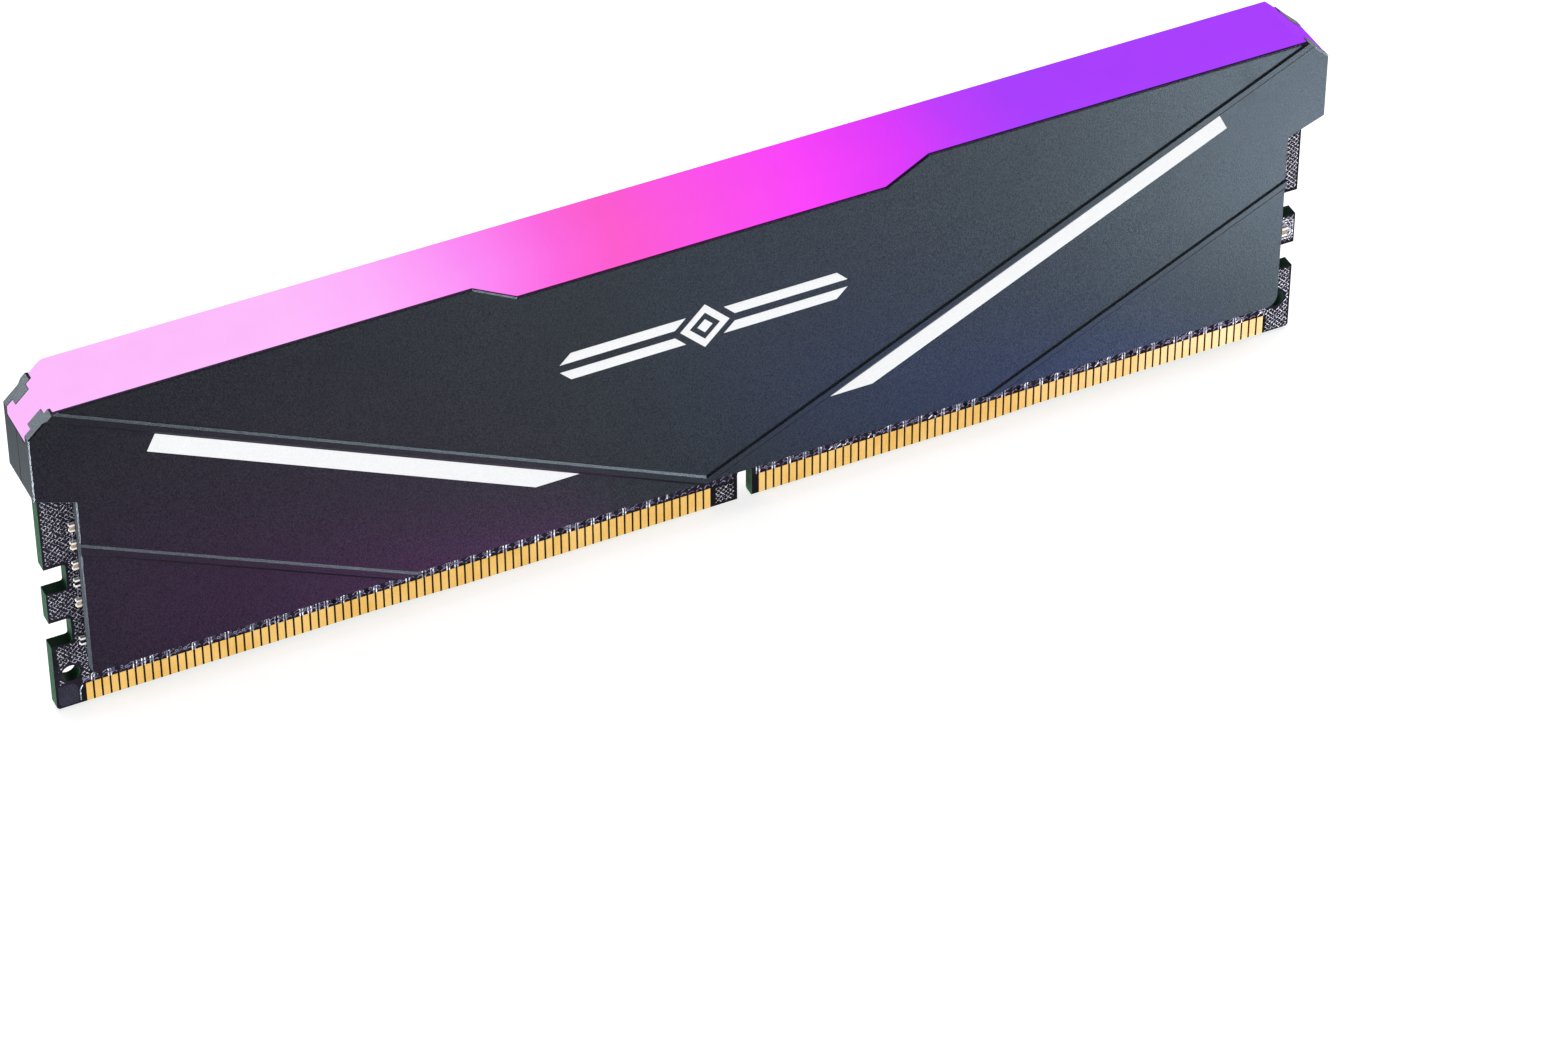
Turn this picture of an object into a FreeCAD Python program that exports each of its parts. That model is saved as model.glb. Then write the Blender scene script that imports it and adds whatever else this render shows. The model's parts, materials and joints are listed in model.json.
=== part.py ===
import FreeCAD, Part
import math
import os

# Illuminated memory module (288-contact DDR4 DIMM) in an aluminium heat spreader.
# Millimetres. X runs along the module, Y through its thickness (front is -Y), Z up.
# Origin: middle of the lowest stretch of the contact edge, half-way through the board.

# --- Board, to the DDR4 DIMM outline -----------------------------------------------------
BOARD_LENGTH = 133.35
BOARD_THICKNESS = 1.4
BOARD_TOP = 34.2
EDGE_RISE = 0.22                 # the contact edge's ends stand this far above its middle
LEFT_RAMP = (-32.0, -24.5)       # where the edge drops from its end level to its middle level
RIGHT_RAMP = (33.0, 38.0)
EDGE_BEVEL = 0.18
CORNER_BEVEL = 0.4
KEY_X = 5.35                     # the key notch is off centre, so the module fits one way round
KEY_WIDTH = 1.6
KEY_DEPTH = 3.95
LATCH_NOTCHES = ((8.22, 11.22), (14.82, 17.82))   # low and high z of each end notch
LATCH_DEPTH = 2.15
LATCH_RADIUS = 0.3
TOOLING_HOLE_X = 65.0
TOOLING_HOLE_Z = 4.4
TOOLING_HOLE_RADIUS = 0.95

# --- Contacts ----------------------------------------------------------------------------
PITCH = 0.85
PAD_WIDTH = 0.65
PAD_THICKNESS = 0.05
PAD_TOP = 2.65
PAD_BOTTOM_RISE = 0.22           # bare board left below each contact
FIRST_PAD_X = -63.325
LONG_GROUP = 77
SHORT_GROUP = 67
SHORT_GROUP_X = 7.225            # centre of the first contact right of the key

# --- Heat spreader -----------------------------------------------------------------------
FACE_Y = 3.25                    # outer face of each shell, from the middle plane
SHEET = 0.9
BODY_HALF = 63.7                 # half length of the narrow lower part
EAR_HALF = 67.65                 # half length of the wide upper part
SHELL_BOTTOM = 5.8
EAR_INNER_Z = 26.9               # slanted underside of each ear: inner and outer heights
EAR_OUTER_Z = 28.4
CHAMFER_LOW_Z = 35.7
CHAMFER_TOP_X = 65.25
SHELL_TOP = 38.0
WINDOW_TOP_X = 23.7              # the top edge steps down between these to show more light
WINDOW_LOW_X = 19.2
WINDOW_Z = 35.5
CORNER_RIGHT = 1.3
CORNER_LEFT = 0.5
EDGE_BREAK = 0.12
SEAM_GAP = 0.05
FLANGE_TOP = 34.7
TAB_REACH = 0.8                  # how far the bent tabs reach over the light bar
TAB_THICKNESS = 0.6
TAB_START = 0.17                 # along the corner slope, as fractions of its length
TAB_END = 0.74

# --- Raised ribs pressed into the shells ---------------------------------------------------
RIB_SLOPE = 0.482
MAIN_RIB_Z = 6.15                # height of each rib's centre line where it would cross x = 0
SIDE_RIB_Z = -9.4
RIB_WIDTH = 1.15                 # where the rib's sloping sides meet the plate's face
RIB_UPPER_RUN = 0.2              # width of the upper side, and of the gentler lower side
RIB_LOWER_RUN = 0.33
RIB_HEIGHT = 0.2
RIB_OVERRUN = 3.0                # extra length before a rib is trimmed to the plate

# --- Light bar ---------------------------------------------------------------------------
BAR_BOTTOM = 34.8
BAR_TOP = 39.7
BAR_HALF_THICKNESS = 3.1
BAR_ROUND = 0.7
BAR_GAP = 0.05
CAP_GAP = 0.15                   # open joint between the bar and the shells' top edges
CHANNEL_HALF = 1.3
CHANNEL_TOP = 36.6
CHANNEL_END = 61.5

# --- Parts under the shells ----------------------------------------------------------------
DRAM_SIZE = (7.5, 1.05, 11.0)
DRAM_PITCH = 9.45
DRAM_FIRST_X = (-58.7, 25.15)    # first package of the left and of the right row of four
DRAM_PER_ROW = 4
DRAM_Z = 16.0
PAD_ZONE = (9.6, 24.0)           # low and high z of the front thermal pad
BACK_PAD_ZONE = (9.6, 30.0)
PAD_HALF_LENGTH = 62.6
EEPROM_SIZE = (3.0, 0.75, 2.0)
EEPROM_XZ = (0.0, 13.2)
DRIVER_SIZE = (4.0, 0.85, 4.0)
DRIVER_XZ = (0.0, 28.4)
LED_SIZE = (2.8, 0.8, 1.2)
LED_COUNT = 8
LED_PITCH = 15.6
LED_Z = 33.7

# --- Small soldered parts ------------------------------------------------------------------
ROW_Z = 4.95                     # row between the contacts and the shell
NET_SIZE = (1.0, 0.35, 1.5)      # two-resistor network
NET_TERMINAL = (0.4, 0.42)
NET_OFFSET = 2.98                # networks stand each side of their memory package's centre
CHIP_SIZE = (0.55, 0.4, 1.05)    # small capacitor or resistor
CHIP_TERMINAL = 0.27
LARGE_SIZE = (1.0, 0.7, 2.1)
LARGE_TERMINAL = 0.45
CAP_OFFSET = 1.07                # capacitor beside its network
RESISTOR_OFFSET = -0.35
EXTRA_NETS_X = (-11.8, -8.3, 9.7, 13.1, 59.1)
BARE_NETS_X = (56.37, 59.1)      # networks with no capacitor beside them
PAIR_X = (-1.75, -0.85)
LONE_RESISTOR_X = 6.4
DECOUPLING_X = (-53.0, -42.4, -32.0, 28.5, 39.1, 49.6, 58.1, 60.5, 61.9)
DECOUPLING_Z = 7.5
LARGE_PARTS = ((2.1, 4.75, True), (61.7, 5.4, True), (18.35, 5.45, False))
END_SIZE = (0.5, 0.3, 0.85)      # still smaller parts in a column at the left end
END_TERMINAL = 0.22
END_COLUMN_X = -63.57
END_CAPACITOR_Z = (12.85, 17.45, 19.9, 22.1)
END_RESISTOR_Z = (8.1, 15.35)
RIGHT_END_PART = (65.3, 13.1)
BACK_CAPACITOR_Z = 7.7

HALF_BOARD = BOARD_THICKNESS / 2
INNER_Y = FACE_Y - SHEET


def save(name, solids):
    """Write one sub-part; several solids in one node stay separate."""
    if len(solids) == 1:
        shape = solids[0]
    else:
        shape = Part.makeCompound(solids)
    shape.exportStep("parts/" + name + ".step")


def block(x_range, y_range, z_range):
    """A box between two values on each axis."""
    corner = FreeCAD.Vector(x_range[0], y_range[0], z_range[0])
    size = [r[1] - r[0] for r in (x_range, y_range, z_range)]
    return Part.makeBox(size[0], size[1], size[2], corner)


def prism(outline, y_low, y_high):
    """An outline of (x, z) points, extruded along Y."""
    points = [FreeCAD.Vector(x, y_low, z) for x, z in outline]
    face = Part.Face(Part.makePolygon(points + points[:1]))
    return face.extrude(FreeCAD.Vector(0, y_high - y_low, 0))


def mirrored(half):
    """Close a right-hand half outline, listed from bottom to top, with its mirror image."""
    return half + [(-x, z) for x, z in reversed(half)]


def to_back(shape):
    """Turn a front shape half a turn about Z, onto the back of the module."""
    turned = shape.copy()
    turned.rotate(FreeCAD.Vector(0, 0, 0), FreeCAD.Vector(0, 0, 1), 180)
    return turned


def slope_x(z):
    """X of the corner slope's outer line at a height."""
    run = EAR_HALF - CHAMFER_TOP_X
    return CHAMFER_TOP_X + run * (SHELL_TOP - z) / (SHELL_TOP - CHAMFER_LOW_Z)


# --- Board ---------------------------------------------------------------------------------

def make_board():
    half = BOARD_LENGTH / 2
    outline = [
        (-half, BOARD_TOP),
        (-half, EDGE_RISE + CORNER_BEVEL),
        (-half + CORNER_BEVEL, EDGE_RISE),
        (LEFT_RAMP[0], EDGE_RISE),
        (LEFT_RAMP[1], 0),
        (RIGHT_RAMP[0], 0),
        (RIGHT_RAMP[1], EDGE_RISE),
        (half - CORNER_BEVEL, EDGE_RISE),
        (half, EDGE_RISE + CORNER_BEVEL),
        (half, BOARD_TOP),
    ]
    board = prism(outline, -HALF_BOARD, HALF_BOARD)
    bottom_edges = []
    for edge in board.Edges:
        box = edge.BoundBox
        along_face = box.YLength < 1e-6 and box.XLength > CORNER_BEVEL * 2
        if along_face and box.ZMax < EDGE_RISE + 1e-6:
            bottom_edges.append(edge)
    board = board.makeChamfer(EDGE_BEVEL, bottom_edges)

    through = (-BOARD_THICKNESS, BOARD_THICKNESS)
    key_radius = KEY_WIDTH / 2
    key_straight = KEY_DEPTH - key_radius
    key = block((KEY_X - key_radius, KEY_X + key_radius), through, (-1, key_straight))
    round_end = Part.makeCylinder(key_radius, 2 * BOARD_THICKNESS,
                                  FreeCAD.Vector(KEY_X, -BOARD_THICKNESS, key_straight),
                                  FreeCAD.Vector(0, 1, 0))
    board = board.cut(key.fuse(round_end))
    for side in (-1, 1):
        for low, high in LATCH_NOTCHES:
            board = board.cut(make_latch_notch(side, low, high))
        hole = Part.makeCylinder(TOOLING_HOLE_RADIUS, 2 * BOARD_THICKNESS,
                                 FreeCAD.Vector(side * TOOLING_HOLE_X, -BOARD_THICKNESS, TOOLING_HOLE_Z),
                                 FreeCAD.Vector(0, 1, 0))
        board = board.cut(hole)
    return board.removeSplitter()


def make_latch_notch(side, low, high):
    """End notch for the socket's latch, with rounded inner corners."""
    half = BOARD_LENGTH / 2
    inner = half - LATCH_DEPTH
    x_range = sorted((side * inner, side * (half + 1)))
    notch = block(x_range, (-BOARD_THICKNESS, BOARD_THICKNESS), (low, high))
    corners = [e for e in notch.Edges
               if e.BoundBox.YLength > 1 and abs(e.BoundBox.XMin - side * inner) < 1e-6]
    return notch.makeFillet(LATCH_RADIUS, corners)


def edge_height(x):
    """Height of the contact edge at a place along the board."""
    if LEFT_RAMP[1] <= x <= RIGHT_RAMP[0]:
        return 0.0
    if x < LEFT_RAMP[0] or x > RIGHT_RAMP[1]:
        return EDGE_RISE
    ramp_end, ramp_foot = LEFT_RAMP if x < 0 else (RIGHT_RAMP[1], RIGHT_RAMP[0])
    return EDGE_RISE * (x - ramp_foot) / (ramp_end - ramp_foot)


def make_contacts(first_x, count):
    """Gold contacts on the front face, one solid each."""
    pads = []
    for index in range(count):
        x = first_x + index * PITCH
        low = edge_height(x) + PAD_BOTTOM_RISE
        pads.append(block((x - PAD_WIDTH / 2, x + PAD_WIDTH / 2),
                          (-HALF_BOARD - PAD_THICKNESS, -HALF_BOARD), (low, PAD_TOP)))
    return pads


def mirror_to_back(shape):
    """Mirror a front shape through the module's middle plane."""
    return shape.mirror(FreeCAD.Vector(0, 0, 0), FreeCAD.Vector(0, 1, 0))


# --- Heat spreader ---------------------------------------------------------------------------

def shell_outline():
    """Right-hand half from the bottom up, then the mirrored left-hand half."""
    return mirrored([
        (BODY_HALF, SHELL_BOTTOM),
        (BODY_HALF, EAR_INNER_Z),
        (EAR_HALF, EAR_OUTER_Z),
        (EAR_HALF, CHAMFER_LOW_Z),
        (CHAMFER_TOP_X, SHELL_TOP),
        (WINDOW_TOP_X, SHELL_TOP),
        (WINDOW_LOW_X, WINDOW_Z),
    ])


def bottom_corner(shape, side):
    """The plate's edge through its lower left or right corner."""
    return [e for e in shape.Edges
            if e.BoundBox.YLength > SHEET / 2
            and e.BoundBox.XLength < 1e-6
            and abs(e.BoundBox.XMin - side * BODY_HALF) < 1e-3
            and e.BoundBox.ZMax < SHELL_BOTTOM + 1e-3]


def make_plate(corner_left, corner_right):
    """Flat front plate with rounded lower corners and broken outer edges."""
    plate = prism(shell_outline(), -FACE_Y, -INNER_Y)
    plate = plate.makeFillet(corner_left, bottom_corner(plate, -1))
    plate = plate.makeFillet(corner_right, bottom_corner(plate, 1))
    outer = [e for e in plate.Edges if abs(e.BoundBox.YMax + FACE_Y) < 1e-6]
    return plate.makeChamfer(EDGE_BREAK, outer)


def make_rib(base_z, side):
    """One raised rib: a trapezoid section swept straight and trimmed to the plate's half."""
    angle = math.atan(RIB_SLOPE)
    along = FreeCAD.Vector(side * math.cos(angle), 0, math.sin(angle))
    across = FreeCAD.Vector(-side * math.sin(angle), 0, math.cos(angle))
    start = FreeCAD.Vector(0, 0, base_z) - along * RIB_OVERRUN
    foot_y = -FACE_Y + EDGE_BREAK
    crest_y = -FACE_Y - RIB_HEIGHT
    sunk = EDGE_BREAK / RIB_HEIGHT
    half = RIB_WIDTH / 2
    section = [(-half - RIB_LOWER_RUN * sunk, foot_y), (-half + RIB_LOWER_RUN, crest_y),
               (half - RIB_UPPER_RUN, crest_y), (half + RIB_UPPER_RUN * sunk, foot_y)]
    points = [start + across * offset + FreeCAD.Vector(0, y, 0) for offset, y in section]
    face = Part.Face(Part.makePolygon(points + points[:1]))
    bar = face.extrude(along * (EAR_HALF + 2 * RIB_OVERRUN) * math.hypot(1, RIB_SLOPE))
    outline = prism(shell_outline(), crest_y - 1, -INNER_Y)
    side_half = block(sorted((0, side * EAR_HALF)), (crest_y - 1, -INNER_Y), (0, SHELL_TOP))
    return bar.common(outline).common(side_half)


def make_tab(side, clearance):
    """Bent tab over the light bar's corner slope; a clearance grows it into its recess."""
    length = math.hypot(EAR_HALF - CHAMFER_TOP_X, SHELL_TOP - CHAMFER_LOW_Z)
    along = ((EAR_HALF - CHAMFER_TOP_X) / length, (CHAMFER_LOW_Z - SHELL_TOP) / length)
    inward = (along[1], -along[0])
    start = TAB_START * length - clearance
    end = TAB_END * length + clearance
    depth = TAB_THICKNESS + clearance

    def place(run, drop):
        x = CHAMFER_TOP_X + along[0] * run + inward[0] * drop
        z = SHELL_TOP + along[1] * run + inward[1] * drop
        return (side * x, z)

    outline = [place(start, -clearance), place(end, -clearance), place(end, depth), place(start, depth)]
    return prism(outline, -INNER_Y, -INNER_Y + TAB_REACH + clearance)


def make_shell(corner_left, corner_right):
    """Front shell: plate, ribs, end flanges and corner tabs in one piece of sheet."""
    shell = make_plate(corner_left, corner_right)
    for side in (-1, 1):
        shell = shell.fuse(make_rib(MAIN_RIB_Z, side))
        shell = shell.fuse(make_rib(SIDE_RIB_Z, side))
        x_range = sorted((side * (EAR_HALF - SHEET), side * EAR_HALF))
        flange = block(x_range, (-INNER_Y, -SEAM_GAP), (EAR_OUTER_Z, FLANGE_TOP))
        shell = shell.fuse(flange)
        shell = shell.fuse(make_tab(side, 0))
    return shell.removeSplitter()


# --- Light bar -------------------------------------------------------------------------------

def make_light_bar():
    """Diffuser: a body held between the shells, with a cap flush over their top edges."""
    end_x = EAR_HALF - BAR_GAP
    top_x = slope_x(BAR_TOP) - BAR_GAP
    body = prism(mirrored([(end_x, BAR_BOTTOM), (end_x, CHAMFER_LOW_Z), (top_x, BAR_TOP)]),
                 -INNER_Y + BAR_GAP, INNER_Y - BAR_GAP)
    cap_low_x = slope_x(SHELL_TOP + CAP_GAP) - BAR_GAP
    cap_outline = mirrored([
        (WINDOW_LOW_X, WINDOW_Z + CAP_GAP),
        (WINDOW_TOP_X, SHELL_TOP + CAP_GAP),
        (cap_low_x, SHELL_TOP + CAP_GAP),
        (top_x, BAR_TOP),
    ])
    cap = prism(cap_outline, -BAR_HALF_THICKNESS, BAR_HALF_THICKNESS)
    long_edges = [e for e in cap.Edges
                  if e.BoundBox.ZMin > BAR_TOP - 1e-6 and e.BoundBox.XLength > 1]
    cap = cap.makeFillet(BAR_ROUND, long_edges)
    bar = body.fuse(cap)
    channel = block((-CHANNEL_END, CHANNEL_END), (-CHANNEL_HALF, CHANNEL_HALF),
                    (BAR_BOTTOM - 1, CHANNEL_TOP))
    bar = bar.cut(channel)
    for side in (-1, 1):
        recess = make_tab(side, BAR_GAP)
        bar = bar.cut(recess).cut(mirror_to_back(recess))
    return bar.removeSplitter()


# --- Soldered parts --------------------------------------------------------------------------

def on_front(x, z, size):
    """A package standing on the board's front face."""
    length, thickness, height = size
    return block((x - length / 2, x + length / 2),
                 (-HALF_BOARD - thickness, -HALF_BOARD),
                 (z - height / 2, z + height / 2))


def dram_positions():
    return [first + index * DRAM_PITCH for first in DRAM_FIRST_X for index in range(DRAM_PER_ROW)]


def moulded(x, z, size, break_edge):
    """A moulded package with a small bevel round its outer face."""
    package = on_front(x, z, size)
    outer_y = -HALF_BOARD - size[1]
    rim = [e for e in package.Edges if abs(e.BoundBox.YMax - outer_y) < 1e-6]
    return package.makeChamfer(break_edge, rim)


def two_ended(x, z, size, terminal, lying):
    """A chip part: ceramic body and a metal cap at each end."""
    width, thickness, length = size
    body_length = length - 2 * terminal
    body_thickness = thickness * 0.9
    shift = (body_length + terminal) / 2
    if lying:
        body = on_front(x, z, (body_length, body_thickness, width * 0.94))
        ends = [on_front(x + s * shift, z, (terminal, thickness, width)) for s in (-1, 1)]
    else:
        body = on_front(x, z, (width * 0.94, body_thickness, body_length))
        ends = [on_front(x, z + s * shift, (width, thickness, terminal)) for s in (-1, 1)]
    return body, ends


def network(x, z):
    """Two-resistor network: black body between two terminals above and two below."""
    width, thickness, height = NET_SIZE
    terminal_width, terminal_height = NET_TERMINAL
    body_height = height - 2 * terminal_height
    body = on_front(x, z, (width, thickness, body_height))
    shift_x = (width - terminal_width) / 2
    shift_z = (body_height + terminal_height) / 2
    terminals = []
    for side in (-1, 1):
        for level in (-1, 1):
            terminals.append(on_front(x + side * shift_x, z + level * shift_z,
                                      (terminal_width, thickness, terminal_height)))
    return body, terminals


def network_positions():
    beside_dram = [x + side * NET_OFFSET for x in dram_positions() for side in (-1, 1)]
    return beside_dram + list(EXTRA_NETS_X)


def capacitor_positions():
    """Small capacitors as (x, z, lying down)."""
    bare = [x for x in network_positions() if min(abs(x - b) for b in BARE_NETS_X) < 0.1]
    beside = [(x + CAP_OFFSET, ROW_Z, False) for x in network_positions() if x not in bare]
    upper = [(x, DECOUPLING_Z, True) for x in DECOUPLING_X]
    pair = [(x, ROW_Z - 0.2, False) for x in PAIR_X]
    return beside + upper + pair + [RIGHT_END_PART + (False,)]


def resistor_positions():
    beside = [x + RESISTOR_OFFSET for x in dram_positions()]
    return [(x, ROW_Z, False) for x in beside + [LONE_RESISTOR_X]]


def end_column(heights):
    return [two_ended(END_COLUMN_X, z, END_SIZE, END_TERMINAL, False) for z in heights]


def collect(parts):
    """Split (body, terminals) pairs into two lists of solids."""
    bodies = [body for body, _ in parts]
    ends = [end for _, terminals in parts for end in terminals]
    return bodies, ends


# --- Build -----------------------------------------------------------------------------------

os.makedirs("parts", exist_ok=True)

save("pcb", [make_board()])

groups = {"long": (FIRST_PAD_X, LONG_GROUP), "short": (SHORT_GROUP_X, SHORT_GROUP)}
for group, (first_x, count) in groups.items():
    pads = make_contacts(first_x, count)
    save("contacts_front_" + group, pads)
    save("contacts_back_" + group, [mirror_to_back(pad) for pad in pads])

save("front_heat_spreader", [make_shell(CORNER_LEFT, CORNER_RIGHT)])
save("back_heat_spreader", [to_back(make_shell(CORNER_LEFT, CORNER_RIGHT))])
save("light_diffuser", [make_light_bar()])

dram_outer = HALF_BOARD + DRAM_SIZE[1]
pad_x = (-PAD_HALF_LENGTH, PAD_HALF_LENGTH)
save("front_thermal_pad", [block(pad_x, (-INNER_Y, -dram_outer), PAD_ZONE)])
save("back_thermal_pad", [block(pad_x, (HALF_BOARD, INNER_Y), BACK_PAD_ZONE)])

for number, x in enumerate(dram_positions(), start=1):
    save("dram_chip_%d" % number, [moulded(x, DRAM_Z, DRAM_SIZE, 0.08)])
save("spd_eeprom", [moulded(EEPROM_XZ[0], EEPROM_XZ[1], EEPROM_SIZE, 0.06)])
save("led_driver", [moulded(DRIVER_XZ[0], DRIVER_XZ[1], DRIVER_SIZE, 0.06)])
for number in range(1, LED_COUNT + 1):
    x = (number - (LED_COUNT + 1) / 2) * LED_PITCH
    save("rgb_led_%d" % number, [moulded(x, LED_Z, LED_SIZE, 0.06)])

part_kinds = {
    "resistor_network": [network(x, ROW_Z) for x in network_positions()],
    "capacitor": [two_ended(x, z, CHIP_SIZE, CHIP_TERMINAL, lying)
                  for x, z, lying in capacitor_positions()] + end_column(END_CAPACITOR_Z),
    "resistor": [two_ended(x, z, CHIP_SIZE, CHIP_TERMINAL, lying)
                 for x, z, lying in resistor_positions()] + end_column(END_RESISTOR_Z),
    "large_capacitor": [two_ended(x, z, LARGE_SIZE, LARGE_TERMINAL, lying)
                        for x, z, lying in LARGE_PARTS],
}
for kind, parts in part_kinds.items():
    bodies, ends = collect(parts)
    save("front_" + kind + "_bodies", bodies)
    save("front_" + kind + "_terminals", ends)

back_kinds = {
    "resistor_network": [network(x, ROW_Z) for x in network_positions()],
    "capacitor": [two_ended(x, BACK_CAPACITOR_Z, CHIP_SIZE, CHIP_TERMINAL, True)
                  for x in dram_positions()],
}
for kind, parts in back_kinds.items():
    bodies, ends = collect(parts)
    save("back_" + kind + "_bodies", [mirror_to_back(body) for body in bodies])
    save("back_" + kind + "_terminals", [mirror_to_back(end) for end in ends])
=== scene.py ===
import json
import math
import random

import bmesh
import bpy
import numpy as np
from mathutils import Matrix, Vector

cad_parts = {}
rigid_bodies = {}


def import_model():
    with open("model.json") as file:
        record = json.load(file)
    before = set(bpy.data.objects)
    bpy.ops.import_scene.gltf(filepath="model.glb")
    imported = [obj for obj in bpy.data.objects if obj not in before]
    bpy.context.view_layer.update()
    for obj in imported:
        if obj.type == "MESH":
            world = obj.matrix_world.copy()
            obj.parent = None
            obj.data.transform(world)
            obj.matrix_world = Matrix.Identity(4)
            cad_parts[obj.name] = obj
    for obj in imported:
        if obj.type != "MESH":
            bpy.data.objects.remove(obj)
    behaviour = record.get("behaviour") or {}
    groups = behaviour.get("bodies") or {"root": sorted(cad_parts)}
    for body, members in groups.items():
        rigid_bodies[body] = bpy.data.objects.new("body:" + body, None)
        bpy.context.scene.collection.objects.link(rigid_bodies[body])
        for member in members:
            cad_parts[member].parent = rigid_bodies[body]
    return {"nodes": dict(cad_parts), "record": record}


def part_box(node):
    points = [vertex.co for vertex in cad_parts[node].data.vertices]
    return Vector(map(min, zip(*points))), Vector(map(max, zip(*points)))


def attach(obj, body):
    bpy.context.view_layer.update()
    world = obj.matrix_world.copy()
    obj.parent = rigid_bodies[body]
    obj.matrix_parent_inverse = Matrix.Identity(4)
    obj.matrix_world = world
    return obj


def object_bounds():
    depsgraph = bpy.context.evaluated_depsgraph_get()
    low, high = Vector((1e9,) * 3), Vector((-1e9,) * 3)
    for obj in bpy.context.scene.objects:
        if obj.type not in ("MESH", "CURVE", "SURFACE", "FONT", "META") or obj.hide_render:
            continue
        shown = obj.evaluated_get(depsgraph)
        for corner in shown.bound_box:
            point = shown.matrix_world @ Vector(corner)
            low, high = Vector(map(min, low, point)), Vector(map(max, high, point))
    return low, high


# Looks for the illuminated memory module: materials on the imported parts, the printed marks on
# the heat spreader, the copper that shows through the solder mask, the solder fillets, and a
# lit table to show it on. Metres, in the row frame: X along the module, front face towards -Y,
# Z up, with the contacts' lowest edge at zero.

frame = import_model()
cad_low, cad_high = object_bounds()
random.seed(4)

MM = 0.001


def mount(name):
    """Position of one of the record's mounts."""
    return next(Vector(m["pos_m"]) for m in frame["record"]["mounts"] if m["name"] == name)


board_low, board_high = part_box("pcb")
BOARD_FACE = board_high.y                     # half the board's thickness
PLATE_FACE = mount("back_face").y             # outer face of a shell, clear of its ribs
PAD_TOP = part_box("contacts_front_long")[1].z
CONTACT_ZONE = 64.2 * MM                      # the contacts' black field ends here, each side
WHITE = (1.0, 1.0, 1.0, 1.0)
BLACK = (0.0, 0.0, 0.0, 1.0)


# --- Materials ----------------------------------------------------------------------------------

def shade(red, green, blue):
    """Display colour, 0 to 255, as linear RGBA."""
    def linear(value):
        value /= 255
        return value / 12.92 if value <= 0.04045 else ((value + 0.055) / 1.055) ** 2.4
    return (linear(red), linear(green), linear(blue), 1.0)


class Shader:
    """A material's node tree, with short calls for the nodes used here."""

    def __init__(self, name):
        self.mat = bpy.data.materials.new(name)
        self.mat.use_nodes = True
        self.tree = self.mat.node_tree
        self.surface = self.tree.nodes["Principled BSDF"]
        self.place = self.add("ShaderNodeTexCoord").outputs["Object"]

    def add(self, kind, **settings):
        made = self.tree.nodes.new(kind)
        for key, value in settings.items():
            setattr(made, key, value)
        return made

    def join(self, source, target):
        self.tree.links.new(source, target)

    def feed(self, target, value):
        """Join a socket, or set a plain value."""
        if isinstance(value, bpy.types.NodeSocket):
            self.join(value, target)
        else:
            target.default_value = value

    def set(self, **values):
        for key, value in values.items():
            self.feed(self.surface.inputs[key.replace("_", " ")], value)

    def stretched(self, x, y, z):
        """Object coordinates scaled along each axis."""
        mapping = self.add("ShaderNodeMapping")
        self.join(self.place, mapping.inputs["Vector"])
        mapping.inputs["Scale"].default_value = (x, y, z)
        return mapping.outputs["Vector"]

    def noise(self, size, detail=2.0, roughness=0.5, where=None):
        """Smooth noise whose lumps are about size metres across, from 0 to 1."""
        tex = self.add("ShaderNodeTexNoise")
        self.join(where or self.place, tex.inputs["Vector"])
        tex.inputs["Scale"].default_value = 1 / size
        tex.inputs["Detail"].default_value = detail
        tex.inputs["Roughness"].default_value = roughness
        return tex.outputs["Fac"]

    def openness(self, distance):
        """How open a point is, from 0 deep in a crease to 1 out in the clear."""
        node = self.add("ShaderNodeAmbientOcclusion", samples=4)
        node.inputs["Distance"].default_value = distance
        return node.outputs["AO"]

    def spread(self, value, low, high, to_low, to_high):
        """Map a value's range onto another, clamped."""
        node = self.add("ShaderNodeMapRange")
        self.feed(node.inputs["Value"], value)
        for name, number in (("From Min", low), ("From Max", high),
                             ("To Min", to_low), ("To Max", to_high)):
            node.inputs[name].default_value = number
        return node.outputs["Result"]

    def maths(self, operation, a, b=0.0):
        node = self.add("ShaderNodeMath", operation=operation)
        self.feed(node.inputs[0], a)
        self.feed(node.inputs[1], b)
        return node.outputs["Value"]

    def mix(self, factor, a, b):
        """Blend of two colours: a where factor is 0, b where it is 1."""
        node = self.add("ShaderNodeMix", data_type="RGBA")
        colour_a, colour_b = [socket for socket in node.inputs if socket.type == "RGBA"]
        self.feed(node.inputs["Factor"], factor)
        self.feed(colour_a, a)
        self.feed(colour_b, b)
        return next(socket for socket in node.outputs if socket.type == "RGBA")

    def split(self, vector):
        node = self.add("ShaderNodeSeparateXYZ")
        self.join(vector, node.inputs[0])
        return node.outputs

    def ramp(self, value, stops):
        node = self.add("ShaderNodeValToRGB")
        elements = node.color_ramp.elements
        while len(elements) < len(stops):
            elements.new(0.5)
        for element, (position, colour) in zip(elements, stops):
            element.position = position
            element.color = colour
        self.feed(node.inputs["Fac"], value)
        return node.outputs["Color"]

    def bump(self, height, distance, strength=1.0, under=None):
        node = self.add("ShaderNodeBump")
        node.inputs["Strength"].default_value = strength
        node.inputs["Distance"].default_value = distance
        self.join(height, node.inputs["Height"])
        if under is not None:
            self.join(under, node.inputs["Normal"])
        return node.outputs["Normal"]


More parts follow.
